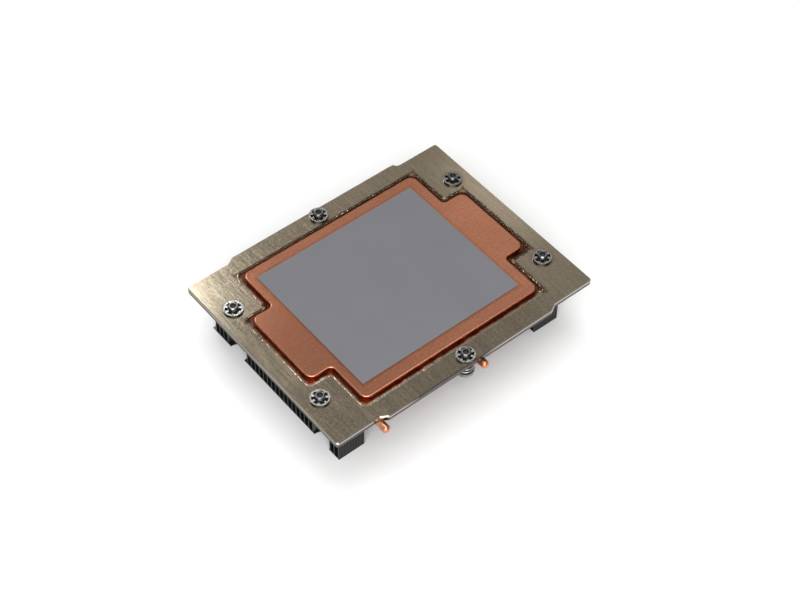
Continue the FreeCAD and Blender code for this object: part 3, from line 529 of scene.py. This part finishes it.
def rounded(points, radii, step=0.25):
    """Closed outline through the corners with each corner rounded; gives points about a step apart."""
    out = []
    count = len(points)
    ends = []
    for i in range(count):
        p0, p, p1 = (Vector(points[i - 1]), Vector(points[i]), Vector(points[(i + 1) % count]))
        a, b = (p0 - p).normalized(), (p1 - p).normalized()
        r = radii[i]
        s, e = p + a * r, p + b * r
        c = s + b * r
        arc = []
        k = max(3, int(math.pi / 2 * r / step))
        for j in range(k + 1):
            t = math.pi / 2 * j / k
            arc.append(c - b * r * math.cos(t) - a * r * math.sin(t))
        ends.append(arc)
    for i in range(count):
        arc = ends[i]
        out += arc
        nxt = ends[(i + 1) % count][0]
        last = arc[-1]
        d = (nxt - last).length
        k = max(1, int(d / step))
        out += [last.lerp(nxt, j / k) for j in range(1, k)]
    return out


corners = [(-HX, -HY), (HX, -HY), (HX, -TY), (TX, -TY), (TX, TY), (HX, TY), (HX, HY), (-HX, HY),
           (-HX, TY), (-TX, TY), (-TX, -TY), (-HX, -TY)]
radii = [R_OUT, R_OUT, R_NOOK, R_OUT, R_OUT, R_NOOK, R_OUT, R_OUT, R_NOOK, R_OUT, R_OUT, R_NOOK]
outline = rounded(corners, radii)


def near_side(out):
    """1 where the outline faces -X or -Y, 0 where it faces +X or +Y."""
    t = (max(-out.x, -out.y) - 0.15) / 0.60
    t = min(1.0, max(0.0, t))
    return t * t * (3 - 2 * t)


def seam_weight(p):
    """How much solder stands proud at a place of the outline, 0 to 1."""
    x, y = p.x, p.y
    n1 = noise.noise(Vector((x * 0.22, y * 0.22, 3.7)))
    n2 = noise.noise(Vector((x * 0.80, y * 0.80, 8.1)))
    n3 = noise.noise(Vector((x * 1.50, y * 1.50, 1.9)))
    if abs(abs(y) - TY) < 1.2 and abs(x) > HX - 1.2:   # the short sides of the tabs
        base = 0.05
    elif x < -HX - 3:                                  # left tab
        base = 0.46 if y < 14 else 0.25
    elif x < -HX + 1.8 and y < 0:                      # near left shoulder
        base = 0.44
    elif x < -HX + 1.8:                                # far left shoulder
        base = 0.34
    elif y < -HY + 1.0 and x < -30:
        base = 0.32
    elif y < -HY + 1.0 and x < 2:
        base = 0.12
    elif y > HY - 1.0 and 4 < x < 38:
        base = -0.15
    elif x > HX - 1.5 and 17 < y < 22:
        base = 0.15
    elif x > HX - 1.5 and y < -TY:
        base = -0.02
    else:
        base = -0.55
    return min(1.0, max(0.0, base + 0.60 * n1 + 0.65 * n2 + 0.30 * n3))


def loop_piece(name, section, key):
    """A closed band whose section, a list of (outward, z) in mm, changes along the outline."""
    bm = bmesh.new()
    count = len(outline)
    rings = []
    for i, p in enumerate(outline):
        a, b = outline[i - 1], outline[(i + 1) % count]
        t = (b - a).normalized()
        out = Vector((t.y, -t.x))                       # outward normal of the outline
        rings.append([bm.verts.new(((p.x + out.x * d) * MM, (p.y + out.y * d) * MM, z * MM)) for d, z in section(p, out)])
    size = len(rings[0])
    for i in range(count):
        a, b = rings[i], rings[(i + 1) % count]
        for k in range(size):
            bm.faces.new((a[k], b[k], b[(k + 1) % size], a[(k + 1) % size]))
    bmesh.ops.recalc_face_normals(bm, faces=bm.faces)
    me = bpy.data.meshes.new(name)
    bm.to_mesh(me)
    bm.free()
    for f in me.polygons:
        f.use_smooth = True
    me.set_sharp_from_angle(angle=math.radians(60))
    obj = link(bpy.data.objects.new(name, me))
    dress(obj, key)
    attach(obj, "heatsink")
    return obj


def fillet_section(p, out):
    n1 = noise.noise(Vector((p.x * 0.45, p.y * 0.45, 31.0)))
    n2 = noise.noise(Vector((p.x * 1.60, p.y * 1.60, 12.0)))
    near = near_side(out)
    w = 0.30 + 1.35 * near + 0.22 * n1 + 0.12 * n2
    top = 24.86 + (0.645 + 0.012 * n2) * near
    foot = 24.70 + 0.34 * near + 0.10 * n1 * near
    over = 0.05 + (0.30 + 0.12 * n1) * near
    return [(-w, 24.66), (-w + 0.02, foot), (-0.72 * w, foot + 0.45 * (top - foot)), (-0.40 * w, foot + 0.78 * (top - foot)),
            (-0.10 * w, foot + 0.97 * (top - foot)), (over, top), (over + 0.01, 24.65), (0.0, 24.60)]


def bead_section(p, out):
    w = seam_weight(p)
    r = 0.03 + 0.29 * w ** 1.2
    zc = 25.5 - 0.35 + 0.33 * min(1.0, 1.6 * w)
    jog = 0.16 * noise.noise(Vector((p.x * 0.9, p.y * 0.9, 21.0))) - 0.06
    return [(math.cos(2 * math.pi * k / 8) * r * 1.70 + jog, zc + math.sin(2 * math.pi * k / 8) * r * 0.75) for k in range(8)]


loop_piece("solder_fillet", fillet_section, "fillet")
loop_piece("solder_bead", bead_section, "solder")

# ---------------------------------------------------------------------------------------------
# floor, light, camera
# ---------------------------------------------------------------------------------------------
me = bpy.data.meshes.new("floor")
s = 3.0
me.from_pydata([(-s, -s, -0.00002), (s, -s, -0.00002), (s, s, -0.00002), (-s, s, -0.00002)], [], [(0, 1, 2, 3)])
floor = link(bpy.data.objects.new("floor", me))
fm = Mat("floor_white")
fm.set(Base_Color=fm.mix(fm.noise(0.01), (0.86, 0.86, 0.86), (0.88, 0.88, 0.88)), Roughness=0.9, Specular_IOR_Level=0.1)
floor.data.materials.append(fm.m)

world = bpy.data.worlds.new("studio")
bpy.context.scene.world = world
world.use_nodes = True
bg = world.node_tree.nodes["Background"]
bg.inputs[0].default_value = (1.0, 0.995, 0.985, 1.0)
bg.inputs[1].default_value = 0.385


def area(name, az, el, dist, size, radiance, colour=(1, 1, 1), size_y=None):
    l = bpy.data.lights.new(name, "AREA")
    l.shape = "RECTANGLE"
    l.size, l.size_y = size, size_y or size
    l.energy = radiance * math.pi * l.size * l.size_y
    l.color = colour
    o = link(bpy.data.objects.new(name, l))
    a, e = math.radians(az), math.radians(el)
    d = Vector((math.cos(a) * math.cos(e), math.sin(a) * math.cos(e), math.sin(e)))
    o.location = d * dist + Vector((0, 0, 0.02))
    o.rotation_euler = d.to_track_quat("Z", "Y").to_euler()
    return o


area("overhead", 60, 82, 1.0, 0.70, 2.8, (1.0, 0.99, 0.97))
area("fill_front", -133, 42, 1.10, 1.00, 4.2, (0.985, 0.99, 1.0))
area("glow_left", 77.2, 47.2, 1.20, 0.28, 6.8, (0.91, 0.97, 1.0), 0.24)
area("glow_right", 43, 46, 1.20, 0.16, 0.12, (1.0, 0.985, 0.97))

cam = bpy.data.cameras.new("camera")
cam.sensor_width = 36.0
cam.lens = 79.515
cam.clip_start, cam.clip_end = 0.01, 20.0
camo = link(bpy.data.objects.new("camera", cam))
a, e = math.radians(-38.915), math.radians(50.11)
right = Vector((math.cos(a), math.sin(a), 0.0))
back = Vector((math.sin(a) * math.cos(e), -math.cos(a) * math.cos(e), math.sin(e)))
up = back.cross(right)
loc = Vector((0, 0, 0.0255)) + MM * (3.756 * right - 6.052 * up + 646.5 * back)
rot = Matrix((right, up, back)).transposed()
camo.matrix_world = Matrix.Translation(loc) @ rot.to_4x4()
bpy.context.scene.camera = camo
bpy.context.scene.view_settings.view_transform = "Standard"
